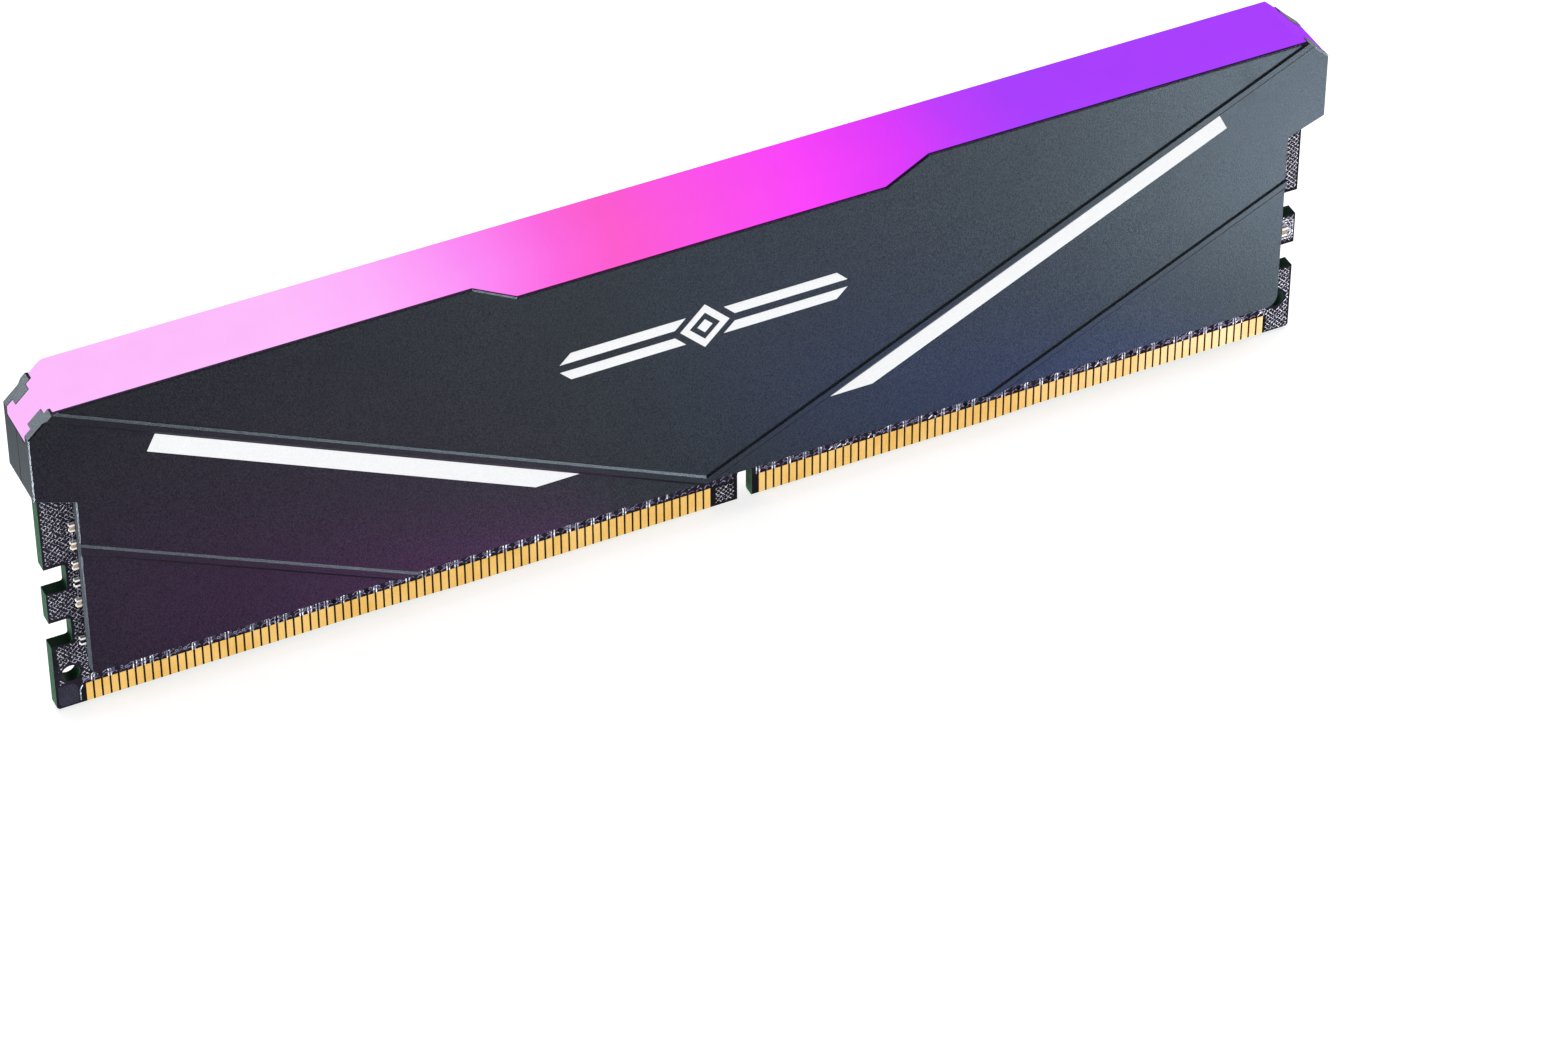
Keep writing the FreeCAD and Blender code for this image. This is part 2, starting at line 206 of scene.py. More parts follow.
def anodised_aluminium():
    """Dark grey anodised sheet with a fine blasted grain."""
    s = Shader("dark_anodised_aluminium")
    grain = s.noise(0.00015, 3.0, 0.7)
    fine = s.noise(0.00010, 2.0, 0.5)
    cloud = s.noise(0.018, 3.0, 0.55)
    colour = s.mix(s.spread(grain, 0.26, 0.74, 0.0, 1.0), shade(25, 29, 33), shade(71, 78, 84))
    colour = s.mix(s.spread(cloud, 0.3, 0.7, 0.0, 0.3), colour, shade(44, 47, 53))
    rough = s.spread(grain, 0.3, 0.7, 0.38, 0.54)
    rub = s.noise(0.006, 6.0, 0.7)
    rough = s.maths("ADD", rough, s.spread(rub, 0.55, 0.75, 0.0, 0.05))
    s.set(Base_Color=colour, Metallic=0.85, Roughness=rough, Specular_IOR_Level=0.3,
          Normal=s.bump(fine, 0.000008, 0.7, under=s.bump(grain, 0.000024, 1.0)))
    return s.mat


LIGHT_STOPS = (           # colour along the bar: place in metres from the middle, display colour
    (-0.0420, (255, 190, 254)),
    (-0.0330, (255, 177, 253)),
    (-0.0230, (254, 139, 248)),
    (-0.0150, (254, 104, 225)),
    (-0.0090, (254, 93, 206)),
    (-0.0015, (253, 86, 229)),
    (0.0110, (252, 68, 252)),
    (0.0210, (223, 60, 253)),
    (0.0275, (190, 63, 254)),
    (0.0340, (170, 64, 254)),
)


def lit_diffuser():
    """Milky plastic lit from inside; the lamps' colours run into each other along X."""
    s = Shader("lit_milky_diffuser")
    low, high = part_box("light_diffuser")
    length = high.x - low.x
    along = s.spread(s.split(s.place)[0], low.x, high.x, 0.0, 1.0)
    colour = s.ramp(along, [((x - low.x) / length, shade(*rgb)) for x, rgb in LIGHT_STOPS])
    haze = s.spread(s.noise(0.0035, 4.0, 0.6), 0.3, 0.7, 0.97, 1.0)
    speck = s.noise(0.00035, 2.0, 0.5)
    s.set(Base_Color=s.mix(0.985, colour, BLACK),
          Roughness=s.spread(speck, 0.3, 0.7, 0.5, 0.62),
          Specular_IOR_Level=0.02,
          Emission_Color=colour,
          Emission_Strength=haze,
          Normal=s.bump(speck, 0.000004, 0.3))
    return s.mat


def circuit_board():
    """Near-black solder mask on the faces; green glass laminate at every cut edge, with painted
    shade in its creases and holes.
    """
    s = Shader("solder_mask_and_laminate")
    weave = s.noise(0.0009, 2.0, 0.5, s.stretched(1.0, 1.0, 2.4))
    pour = s.noise(0.0032, 3.0, 0.55)
    mask = s.mix(s.spread(pour, 0.38, 0.62, 0.0, 1.0), shade(8, 6, 14), shade(18, 13, 28))
    mask = s.mix(s.spread(weave, 0.3, 0.7, 0.0, 0.2), mask, shade(36, 30, 50))
    x, y, z = s.split(s.place)
    by_contacts = s.maths("MULTIPLY", s.maths("LESS_THAN", z, PAD_TOP + 0.1 * MM),
                          s.maths("LESS_THAN", s.maths("ABSOLUTE", x), CONTACT_ZONE))
    mask = s.mix(by_contacts, mask, shade(4, 4, 7))      # no solid copper under the mask there

    ply = s.add("ShaderNodeTexWave", wave_type="BANDS", bands_direction="Y")
    s.join(s.place, ply.inputs["Vector"])
    ply.inputs["Scale"].default_value = 700.0
    ply.inputs["Distortion"].default_value = 1.2
    ply.inputs["Detail"].default_value = 1.0
    fibre = s.noise(0.00035, 3.0, 0.6)
    edge = s.mix(s.spread(fibre, 0.3, 0.7, 0.0, 1.0), shade(20, 62, 42), shade(42, 88, 64))
    edge = s.mix(s.maths("MULTIPLY", ply.outputs["Fac"], 0.35), edge, shade(20, 62, 38))
    # painted shade: the laminate turns near-black green in creases, notches and holes, where the
    # occlusion is high
    edge = s.mix(s.spread(s.openness(0.004), 0.55, 0.85, 0.0, 1.0), shade(0, 44, 20), edge)

    facing = s.add("ShaderNodeNewGeometry").outputs["True Normal"]
    level = s.maths("ABSOLUTE", s.split(facing)[1])
    on_face = s.maths("GREATER_THAN", level, 0.9)
    colour = s.mix(on_face, edge, mask)
    rough = s.maths("ADD", s.spread(on_face, 0.0, 1.0, 0.72, 0.33),
                    s.spread(weave, 0.3, 0.7, 0.0, 0.1))
    height = s.maths("ADD", s.maths("MULTIPLY", pour, 0.6), s.maths("MULTIPLY", weave, 0.4))
    s.set(Base_Color=colour, Roughness=rough, Specular_IOR_Level=0.25,
          Normal=s.bump(height, 0.00003, 0.5))
    return s.mat


def masked_copper(name, dull, bright, dash):
    """Copper under the mask: dull, with painted highlights as bright glints about dash metres long,
    set by noise.
    """
    s = Shader(name)
    tone = s.noise(0.0012, 3.0, 0.6)
    painted_glint = s.noise(dash, 2.0, 0.6)
    duller = [0.8 * part for part in dull]
    colour = s.mix(s.spread(tone, 0.35, 0.65, 0.0, 1.0), shade(*duller), shade(*dull))
    # painted highlight: the bright colour, where the glint noise is high, stands in for light
    # caught by the copper
    colour = s.mix(s.spread(painted_glint, 0.5, 0.58, 0.0, 1.0), colour, shade(*bright))
    s.set(Base_Color=colour, Metallic=0.3, Roughness=s.spread(tone, 0.3, 0.7, 0.32, 0.45),
          Normal=s.bump(s.noise(0.0002, 2.0), 0.000008, 0.5))
    return s.mat


def gold_plate():
    """Contact gold, with the fine upright rubbing that a socket leaves."""
    s = Shader("contact_gold")
    tone = s.noise(0.0045, 3.0, 0.6)
    rub = s.noise(0.00011, 4.0, 0.7, s.stretched(1.0, 1.0, 0.06))
    grain = s.noise(0.00012, 2.0, 0.5)
    colour = s.mix(s.spread(tone, 0.35, 0.65, 0.0, 1.0), shade(232, 182, 92), shade(242, 198, 116))
    colour = s.mix(s.spread(rub, 0.5, 0.75, 0.0, 0.3), colour, shade(250, 222, 158))
    rough = s.maths("ADD", s.spread(rub, 0.3, 0.7, 0.24, 0.36),
                    s.spread(grain, 0.3, 0.7, 0.0, 0.06))
    s.set(Base_Color=colour, Metallic=0.75, Roughness=rough, Normal=s.bump(rub, 0.000004, 0.4))
    return s.mat


def speckled(name, dark, light, size, rough, metallic=0.0, lift=0.00001, extra=None):
    """Moulded, fired or tinned surface: two tones in fine grain, with matching bump."""
    s = Shader(name)
    grain = s.noise(size, 3.0, 0.6)
    blotch = s.noise(size * 9, 2.0, 0.5)
    colour = s.mix(s.spread(grain, 0.32, 0.68, 0.0, 1.0), shade(*dark), shade(*light))
    colour = s.mix(s.spread(blotch, 0.35, 0.65, 0.0, 0.25), colour, shade(*dark))
    s.set(Base_Color=colour, Metallic=metallic,
          Roughness=s.spread(grain, 0.3, 0.7, rough - 0.06, rough + 0.06),
          Normal=s.bump(grain, lift, 0.6))
    for key, value in (extra or {}).items():
        s.surface.inputs[key].default_value = value
    return s.mat


SHELL = anodised_aluminium()
DIFFUSER = lit_diffuser()
BOARD = circuit_board()
# The second colour of each copper is its painted highlight, shown in the glints.
TRACK = masked_copper("copper_tracks_under_mask", (138, 139, 158), (238, 239, 247), 0.0003)
HATCHING = masked_copper("copper_hatching_under_mask", (30, 28, 46), (200, 199, 214), 0.00015)
LEADS = masked_copper("copper_leads_under_mask", (58, 54, 80), (124, 118, 150), 0.0002)
POUR = masked_copper("copper_pour_under_mask", (34, 32, 48), (56, 54, 74), 0.00012)
GOLD = gold_plate()
TIN = speckled("bright_tin", (232, 231, 226), (254, 253, 250), 0.00012, 0.34, 0.15, 0.000006)
SOLDER = speckled("solder", (216, 217, 218), (248, 248, 249), 0.00016, 0.28, 0.3, 0.00001)
CHIP = speckled("moulded_package", (24, 24, 27), (40, 40, 44), 0.00014, 0.62)
RESISTOR = speckled("glazed_resistor", (16, 16, 20), (30, 30, 36), 0.00018, 0.30)
CERAMIC = speckled("fired_ceramic", (150, 124, 98), (194, 170, 142), 0.00016, 0.48)
LAMP = speckled("lamp_package", (222, 220, 210), (246, 245, 238), 0.00016, 0.42)
GAP_PAD = speckled("gap_filler", (112, 116, 124), (138, 142, 150), 0.0004, 0.85, lift=0.00006)
PRINT = speckled("white_print", (224, 225, 227), (234, 235, 237), 0.00016, 0.55, lift=0.000003,
                 extra={"Specular IOR Level": 0.3})
SILK = speckled("via_ring", (84, 82, 106), (132, 130, 156), 0.00012, 0.4, 0.4)

finishes = {
    "heat_spreader": SHELL, "light_diffuser": DIFFUSER, "pcb": BOARD, "contacts": GOLD,
    "thermal_pad": GAP_PAD, "dram_chip": CHIP, "spd_eeprom": CHIP, "led_driver": CHIP,
    "rgb_led": LAMP, "terminals": TIN, "resistor_bodies": RESISTOR,
    "resistor_network_bodies": RESISTOR, "capacitor_bodies": CERAMIC,
}
for node_name, node in frame["nodes"].items():
    finish = next(mat for key, mat in finishes.items() if key in node_name)
    for slot in node.material_slots:
        slot.material = finish


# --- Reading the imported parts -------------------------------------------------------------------

def solids(node_name):
    """Lowest and highest corner of each separate solid in a node, as (low, high) arrays."""
    mesh = frame["nodes"][node_name].data
    places = np.array([v.co for v in mesh.vertices]).reshape(-1, 3)
    keys, number = np.unique((places * 1e6).round().astype(int), axis=0, return_inverse=True)
    number = number.reshape(-1)
    parent = list(range(len(keys)))

    def root(i):
        while parent[i] != i:
            parent[i] = parent[parent[i]]
            i = parent[i]
        return i

    for edge in mesh.edges:
        a, b = (root(number[v]) for v in edge.vertices)
        parent[a] = b
    groups = {}
    for index, place in zip(number, places):
        groups.setdefault(root(index), []).append(place)
    boxes = [(np.min(g, axis=0), np.max(g, axis=0)) for g in groups.values()]
    return sorted(boxes, key=lambda b: (round(b[0][0], 6), round(b[0][2], 6)))


# --- Thin raised shapes on a face ---------------------------------------------------------------

def add_piece(bm, name, finish):
    """Put a finished drawing into the scene as a piece of its own, and free the drawing."""
    bmesh.ops.recalc_face_normals(bm, faces=bm.faces[:])
    mesh = bpy.data.meshes.new(name)
    bm.to_mesh(mesh)
    bm.free()
    mesh.materials.append(finish)
    piece = bpy.data.objects.new(name, mesh)
    bpy.context.scene.collection.objects.link(piece)
    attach(piece, "root")


class Relief:
    """Closed, slightly raised shapes drawn in (x, z) on one face of the module."""

    def __init__(self, face, foot, height, turn=1, flip=1):
        """face: distance of the face from the middle plane; foot: how far the shapes sink in.
        turn: -1 puts the drawing on the back; flip: -1 also reverses it left to right."""
        self.low = face - foot
        self.high = face + height
        self.turn = turn
        self.flip = flip
        self.bm = bmesh.new()

    def point(self, x, z, level):
        y = self.high if level else self.low
        return self.bm.verts.new((self.flip * x, -self.turn * y, z))

    def outline(self, points):
        rings = [[self.point(x, z, level) for x, z in points] for level in (0, 1)]
        self.bm.faces.new(rings[1])
        self.bm.faces.new(list(reversed(rings[0])))
        count = len(points)
        for i in range(count):
            j = (i + 1) % count
            self.bm.faces.new((rings[0][i], rings[0][j], rings[1][j], rings[1][i]))

    def ribbon(self, points, width):
        """A track of even width along a line of points, with mitred bends."""
        line = [Vector(p) for p in points]
        left, right = [], []
        for i, place in enumerate(line):
            before = (place - line[i - 1]).normalized() if i else None
            after = (line[i + 1] - place).normalized() if i + 1 < len(line) else None
            way = ((before or after) + (after or before)).normalized()
            normal = Vector((-way.y, way.x))
            reach = width / 2 / max(0.3, abs(way.dot(after or before)))
            left.append(place + normal * reach)
            right.append(place - normal * reach)
        self.outline([tuple(p) for p in left + right[::-1]])

    def ring(self, x, z, outer, inner, sides=12):
        """A flat washer."""
        loops = []
        for level in (0, 1):
            for radius in (outer, inner):
                loops.append([self.point(x + radius * math.cos(2 * math.pi * k / sides),
                                         z + radius * math.sin(2 * math.pi * k / sides), level)
                              for k in range(sides)])
        low_out, low_in, high_out, high_in = loops
        pairs = ((high_out, high_in), (high_in, low_in), (low_in, low_out), (low_out, high_out))
        for k in range(sides):
            n = (k + 1) % sides
            for a, b in pairs:
                self.bm.faces.new((a[k], a[n], b[n], b[k]))

    def hatch(self, zone, clear, pitch, width):
        """Cross-hatched copper at 45 degrees inside zone (x0, x1, z0, z1), as one closed mesh.
        clear(x, z) says where there is copper; pitch and width are measured across the lines."""
        x0, x1, z0, z1 = zone
        step = pitch * math.sqrt(0.5)
        half = width * math.sqrt(0.5)
        corners = ((half, 0), (0, half), (-half, 0), (0, -half))
        nodes = {}
        columns = range(math.ceil(x0 / step), math.floor(x1 / step) + 1)
        rows = range(math.ceil(z0 / step), math.floor(z1 / step) + 1)
        present = {(i, j) for i in columns for j in rows
                   if (i + j) % 2 == 0 and clear(i * step, j * step)}
        for i, j in present:
            linked = any((i + a, j + b) in present for a in (-1, 1) for b in (-1, 1))
            if linked:
                nodes[i, j] = [[self.point(i * step + dx, j * step + dz, level)
                                for dx, dz in corners] for level in (0, 1)]
        open_sides = {key: {0, 1, 2, 3} for key in nodes}
        # A node's side k lies between corner k and corner k + 1: 0 faces up-right, 1 up-left.
        for (i, j), here in nodes.items():
            for k, (a, b) in enumerate(((1, 1), (-1, 1))):
                there = nodes.get((i + a, j + b))
                if there is None:
                    continue
                opposite = k + 2
                quad = []
                for level in (0, 1):
                    n0, n1 = here[level][k], here[level][(k + 1) % 4]
                    f0, f1 = there[level][opposite % 4], there[level][(opposite + 1) % 4]
                    quad.append((n0, n1, f0, f1))
                    self.bm.faces.new((n0, n1, f0, f1))
                for p, q in ((1, 2), (3, 0)):
                    self.bm.faces.new((quad[0][p], quad[0][q], quad[1][q], quad[1][p]))
                open_sides[i, j].discard(k)
                open_sides[i + a, j + b].discard(opposite)
        for key, (low, high) in nodes.items():
            self.bm.faces.new(low)
            self.bm.faces.new(high)
            for k in open_sides[key]:
                n = (k + 1) % 4
                self.bm.faces.new((low[k], low[n], high[n], high[k]))

    def finish(self, name, finish, slot):
        add_piece(self.bm, name, finish)


# --- Printed marks on the heat spreader ---------------------------------------------------------

PRINT_FOOT = 0.01 * MM
PRINT_HEIGHT = 0.02 * MM
RIB_SLOPE = 0.482                      # rise of the ribs and stripes per length
STRIPE_TOP = 5.506 * MM                # height of the stripe's edges where they would cross x = 0
STRIPE_BOTTOM = 3.286 * MM
STRIPE_TIP_Z = 11.97 * MM              # the inner end is cut level here
STRIPE_END = (55.6 * MM, 56.5 * MM)    # the outer end is cut square to the stripe


def stripe(side):
    """A white stripe just under a main rib."""
    def at(base, x):
        return (side * x, base + RIB_SLOPE * x)
    inner = [(STRIPE_TIP_Z - base) / RIB_SLOPE for base in (STRIPE_TOP, STRIPE_BOTTOM)]
    return [at(STRIPE_TOP, inner[0]), at(STRIPE_TOP, STRIPE_END[0]),
            at(STRIPE_BOTTOM, STRIPE_END[1]), at(STRIPE_BOTTOM, inner[1])]


MARK_Z = 25.5 * MM
DIAMOND = (2.6 * MM, 1.6 * MM, 0.8 * MM)       # half diagonals: ring outside, ring inside, centre
BARS = (3.6 * MM, 15.6 * MM)                   # inner and outer ends of the level bars
BAR_EDGES = (0.45 * MM, 1.6 * MM)              # a bar's edges above and below the middle line


def ornament(relief):
    """A plain divider: a diamond between two pairs of level bars, their ends cut at 45 degrees."""
    outer, inner, core = DIAMOND
    for side in (-1, 1):
        # each half of the ring is its own outline, meeting the other at the upright axis
        relief.outline([(0, MARK_Z + outer), (side * outer, MARK_Z), (0, MARK_Z - outer),
                        (0, MARK_Z - inner), (side * inner, MARK_Z), (0, MARK_Z + inner)])
        for level in (1, -1):
            relief.outline([(side * (end - edge), MARK_Z + level * edge)
                            for end, edge in ((BARS[0], BAR_EDGES[0]), (BARS[1], BAR_EDGES[0]),
                                              (BARS[1], BAR_EDGES[1]), (BARS[0], BAR_EDGES[1]))])
    relief.outline([(0, MARK_Z + core), (core, MARK_Z), (0, MARK_Z - core), (-core, MARK_Z)])


for face_name, turn in (("front", 1), ("back", -1)):
    marks = Relief(PLATE_FACE, PRINT_FOOT, PRINT_HEIGHT, turn, turn)
    for side in (-1, 1):
        marks.outline(stripe(side))
    marks.finish(face_name + "_printed_stripes", PRINT, "white_print")
    marks = Relief(PLATE_FACE, PRINT_FOOT, PRINT_HEIGHT, turn, turn)
    ornament(marks)
    marks.finish(face_name + "_printed_ornament", PRINT, "white_print")


# --- Copper under the solder mask ---------------------------------------------------------------

TRACK_FOOT = 0.01 * MM
TRACK_HEIGHT = 0.018 * MM
TRACK_WIDTH = 0.11 * MM
LEAD_FOOT = PAD_TOP - 0.02 * MM        # leads start just under the contacts' upper ends
LEAD_WIDTH = 0.13 * MM                 # the straight leads and the bus are a little wider

PAD_PITCH = 0.85 * MM
PAD_PLACES = 150                       # places for contacts along the row, the key's included
FIRST_PAD = solids("contacts_front_long")[0]
FIRST_PAD_X = (FIRST_PAD[0][0] + FIRST_PAD[1][0]) / 2

# Copper keeps off the holes and the top edge by RIM, and off the ends by SIDE_RIM, or by LEFT_RIM
# at the left end below RIM_STEP.
RIM = 0.2 * MM
SIDE_RIM = 0.12 * MM
LEFT_RIM = 0.4 * MM
RIM_STEP = 8.0 * MM
LOW_RIM_Z = 0.55 * MM
NOTCH_ZONES = ((8.22 * MM, 11.22 * MM), (14.82 * MM, 17.82 * MM))
NOTCH_INNER = board_high.x - 2.15 * MM
HOLE = (65.0 * MM, 4.4 * MM, 0.95 * MM)                  # x on each side, z, radius
KEY = (mount("key_notch").x, 0.8 * MM, mount("key_notch").z)      # x, half width, top
KEY_RIM = 0.35 * MM
KEY_FIELD = (2.0 * MM, 4.3 * MM)       # hatched field between the long row of contacts and the key
ROW_END = 63.95 * MM                   # the contacts' row takes up the face as far as this
ROW_RIM = 0.2 * MM

HATCH_PITCH = 0.39 * MM
HATCH_WIDTH = 0.075 * MM
HATCH_FROM_TO = (0.5 * MM, 28.0 * MM)  # heights of the lowest and highest hatching
HATCH_ROW = (PAD_TOP + 1.15 * MM, 5.9 * MM)       # heights of the hatching above the contacts
END_FIELD = 62.9 * MM                  # beyond this the ends of the board are hatched all over
PATCH = (-26.5 * MM, -13.5 * MM, 4.0 * MM)        # hatched under the tracks: x from, to, height
BUS = (-14.0 * MM, 6.3 * MM)           # the bus beside the key lies between these
POUR_ZONE = (-66.4 * MM, -64.45 * MM, 0.6 * MM, 3.1 * MM)

# The column of small parts at the left end. Each has two terminals; tracks join parts 2 and 3,
# and parts 5 and 6.
COLUMN_SIDE = -62 * MM
column = [box for box in solids("front_capacitor_terminals") + solids("front_resistor_terminals")
          if box[0][0] < COLUMN_SIDE]
column.sort(key=lambda box: box[0][2])
COLUMN_X = (column[0][0][0] + column[0][1][0]) / 2
COLUMN_LINKS = [(column[i][1][2], column[i + 1][0][2]) for i in (3, 9)]
END_PART = next(box for box in solids("front_capacitor_bodies") if box[0][0] > 64 * MM)

# Rings round the vias: the height of each row, the outer and inner radius.
WAVY_ROW = (6.35 * MM, 0.17 * MM, 0.08 * MM)
LEVEL_ROW = (7.05 * MM, 0.12 * MM, 0.06 * MM)
NETWORK_VIAS = (3.15 * MM, 0.19 * MM, 0.09 * MM)


def soldered(face_name):
    """Boxes of every soldered part on one face, as (x0, x1, z0, z1)."""
    found = []
    for node_name in frame["nodes"]:
        if node_name.startswith(face_name) and node_name.endswith(("_bodies", "_terminals")):
            found += [(low[0], high[0], low[2], high[2]) for low, high in solids(node_name)]
    return found


def in_key_field(x):
    """True in the field between the long row of contacts and the key."""
    return KEY_FIELD[0] < x < KEY_FIELD[1]


def bare_board(x, z, parts, margin):
    """True where the face is board: inside the outline, off the holes, contacts and parts."""
    side_rim = SIDE_RIM if z > RIM_STEP or x > 0 else LEFT_RIM
    if abs(x) > board_high.x - side_rim or not LOW_RIM_Z <= z <= board_high.z - RIM:
        return False
    if abs(x) > NOTCH_INNER - RIM and any(a - RIM < z < b + RIM for a, b in NOTCH_ZONES):
        return False
    if math.hypot(abs(x) - HOLE[0], z - HOLE[1]) < HOLE[2] + RIM:
        return False
    if abs(x - KEY[0]) < KEY[1] + KEY_RIM and z < KEY[2] + KEY_RIM:
        return False
    if z < PAD_TOP + ROW_RIM and abs(x) < ROW_END and not in_key_field(x):
        return False
    return all(not (x0 - margin < x < x1 + margin and z0 - margin < z < z1 + margin)
               for x0, x1, z0, z1 in parts)


def in_pour(x, z):
    """True in and just round the solid copper at the lower left corner."""
    x0, x1, z0, z1 = POUR_ZONE
    return x0 - RIM < x < x1 + RIM and z0 - RIM < z < z1 + RIM


def gap_near(x):
    """Middle of the gap between two contacts nearest to x."""
    return FIRST_PAD_X + PAD_PITCH * (round((x - FIRST_PAD_X) / PAD_PITCH - 0.5) + 0.5)


def arch(relief, x, foot_z, top_z):
    """Two pairs of tracks that rise from the contacts and lean in under a network."""
    middle = gap_near(x - PAD_PITCH) + PAD_PITCH
    for side in (-1, 1):
        for offset in (-0.13 * MM, 0.13 * MM):
            start = middle + side * PAD_PITCH + offset
            end = middle + side * 0.24 * MM + offset * 0.9
            knee = top_z - abs(start - end) - 0.12 * MM
            relief.ribbon([(start, foot_z), (start, max(knee, foot_z + 0.25 * MM)),
                           (end, top_z - 0.1 * MM), (end, top_z)], TRACK_WIDTH)


def leads(bright, dim, keep_clear, parts):
    """Leads at the contacts' upper ends: pairs on the long side, crossings on the short side,
    and small arcs, rings and slants on both."""
    foot = LEAD_FOOT
    for count in range(PAD_PLACES):
        x = FIRST_PAD_X + count * PAD_PITCH
        gap = x + PAD_PITCH / 2
        tilt = random.uniform(0.2, 0.34) * MM
        rise = random.uniform(0.3, 0.5) * MM
        kind = random.random()
        if not bare_board(x, foot + 0.9 * MM, parts, 0.1 * MM):
            continue
        taken = any(a < x < b or a < gap < b for a, b in keep_clear)
        if x < -4 * MM and count % 2 == 0 and not taken:
            for offset in (-0.15 * MM, 0.15 * MM):
                bright.ribbon([(gap + offset, foot), (gap + offset, foot + 1.0 * MM)], LEAD_WIDTH)
        elif x > 8 * MM and kind < 0.7 and not taken:
            bright.ribbon([(x - tilt, foot + 0.2 * MM),
                           (x + tilt / 2, foot + 0.2 * MM + rise)], TRACK_WIDTH)
            bright.ribbon([(gap, foot), (gap, foot + rise)], TRACK_WIDTH)
        dim.ribbon([(x - 0.3 * MM, foot + 0.15 * MM), (x - 0.14 * MM, foot + rise),
                    (x + 0.1 * MM, foot + rise + 0.06 * MM),
                    (x + 0.28 * MM, foot + rise - 0.1 * MM)], TRACK_WIDTH)
        if kind < 0.5:
            dim.ring(x - 0.05 * MM, foot + rise + 0.35 * MM, 0.18 * MM, 0.09 * MM)
        else:
            dim.ribbon([(x - tilt, foot + 0.62 * MM),
                        (x + tilt, foot + 0.62 * MM + rise)], TRACK_WIDTH)


def centre_bundle(relief):
    """The bus that climbs at 45 degrees beside the key and then runs level."""
    runs = (                                     # bends in millimetres
        ((-6.0, 4.05), (-2.35, 7.7), (-0.2, 7.7)),
        ((-5.6, 3.75), (-2.1, 7.2), (1.0, 7.2), (1.4, 7.6)),
        ((-4.0, 4.5), (-1.75, 6.72), (3.2, 6.72), (3.75, 7.3)),
        ((-3.2, 4.55), (-1.55, 6.2), (4.4, 6.2), (4.95, 6.8)),
        ((-0.1, 5.8), (1.75, 5.8)),
        ((2.3, 5.8), (4.3, 5.8)),
        ((-3.95, 3.0), (-3.95, 4.2)),
        ((-3.05, 3.0), (-3.05, 4.35)),
        ((-13.8, 3.3), (-10.2, 7.8)),
        ((-10.9, 6.5), (-9.3, 7.9)),
        ((-9.2, 6.4), (-7.9, 7.8)),
        ((-7.0, 5.9), (-5.4, 7.7)),
    )
    for run in runs:
        relief.ribbon([(x * MM, z * MM) for x, z in run], LEAD_WIDTH)


def loop_round(relief, low, high, clearance):
    """A guard track round the right-hand side of a part, with cut corners."""
    left = low[0]
    right = high[0] + clearance
    bottom, top = low[2] - clearance, high[2] + clearance
    cut = 0.25 * MM
    relief.ribbon([(left, bottom), (right - cut, bottom), (right, bottom + cut),
                   (right, top - cut), (right - cut, top), (left, top)], TRACK_WIDTH)


def network_tracks(relief, x, bottom, top):
    """Tracks into and out of one resistor network."""
    arch(relief, x, LEAD_FOOT, bottom - 0.02 * MM)
    for offset in (-0.3 * MM, 0.3 * MM):
        relief.ribbon([(x + offset, top + 0.05 * MM), (x + offset, top + 1.1 * MM),
                       (x + offset * 2.4, top + 1.9 * MM), (x + offset * 2.4, top + 3.4 * MM)],
                      TRACK_WIDTH)


def front_tracks(relief, singles):
    """What only the front has: leads of the single resistors, the bus, the ends' tracks."""
    for x in singles:
        middle = gap_near(x)
        for offset in (-0.16 * MM, 0.16 * MM):
            relief.ribbon([(middle + offset, LEAD_FOOT), (middle + offset, 3.7 * MM),
                           (x + offset, 4.0 * MM), (x + offset, 4.4 * MM)], TRACK_WIDTH)
    centre_bundle(relief)
    relief.ribbon([(-64.25 * MM, 0.7 * MM), (-64.25 * MM, 2.0 * MM), (-63.95 * MM, 2.55 * MM)],
                  TRACK_WIDTH)
    for low_z, high_z in COLUMN_LINKS:
        relief.ribbon([(COLUMN_X, low_z), (COLUMN_X, high_z)], TRACK_WIDTH)
    for clearance in (0.35 * MM, 0.62 * MM, 0.89 * MM):
        loop_round(relief, *END_PART, clearance)


def pour_corner(relief):
    """The solid copper at the lower left corner, three of its corners cut."""
    x0, x1, z0, z1 = POUR_ZONE
    cut = 0.3 * MM
    long_cut = 0.5 * MM
    relief.outline([(x0, z0 + cut), (x0 + cut, z0), (x1, z0), (x1, z1 - long_cut),
                    (x1 - long_cut, z1), (x0, z1)])


def via_rings(relief, parts, centres):
    """Two loose rows of rings above the parts, and a pair beside each network or resistor."""
    def free(x, z):
        return bare_board(x, z, parts, 0.3 * MM) and not BUS[0] < x < BUS[1]

    end = 4.0 * MM
    x = board_low.x + end
    while x < board_high.x - end:
        z, outer, inner = WAVY_ROW
        z += random.uniform(-0.12, 0.12) * MM
        if free(x, z) and random.random() < 0.8:
            relief.ring(x, z, outer, inner)
        z, outer, inner = LEVEL_ROW
        if free(x, z) and random.random() < 0.7:
            relief.ring(x + 0.2 * MM, z, outer, inner, 10)
        x += random.uniform(0.42, 0.7) * MM
    z, outer, inner = NETWORK_VIAS
    for x in centres:
        for side in (-1, 1):
            via_x = gap_near(x + side * 1.8 * MM)
            if bare_board(via_x, z + 0.05 * MM, parts, 0.2 * MM):
                relief.ring(via_x, z, outer, inner)


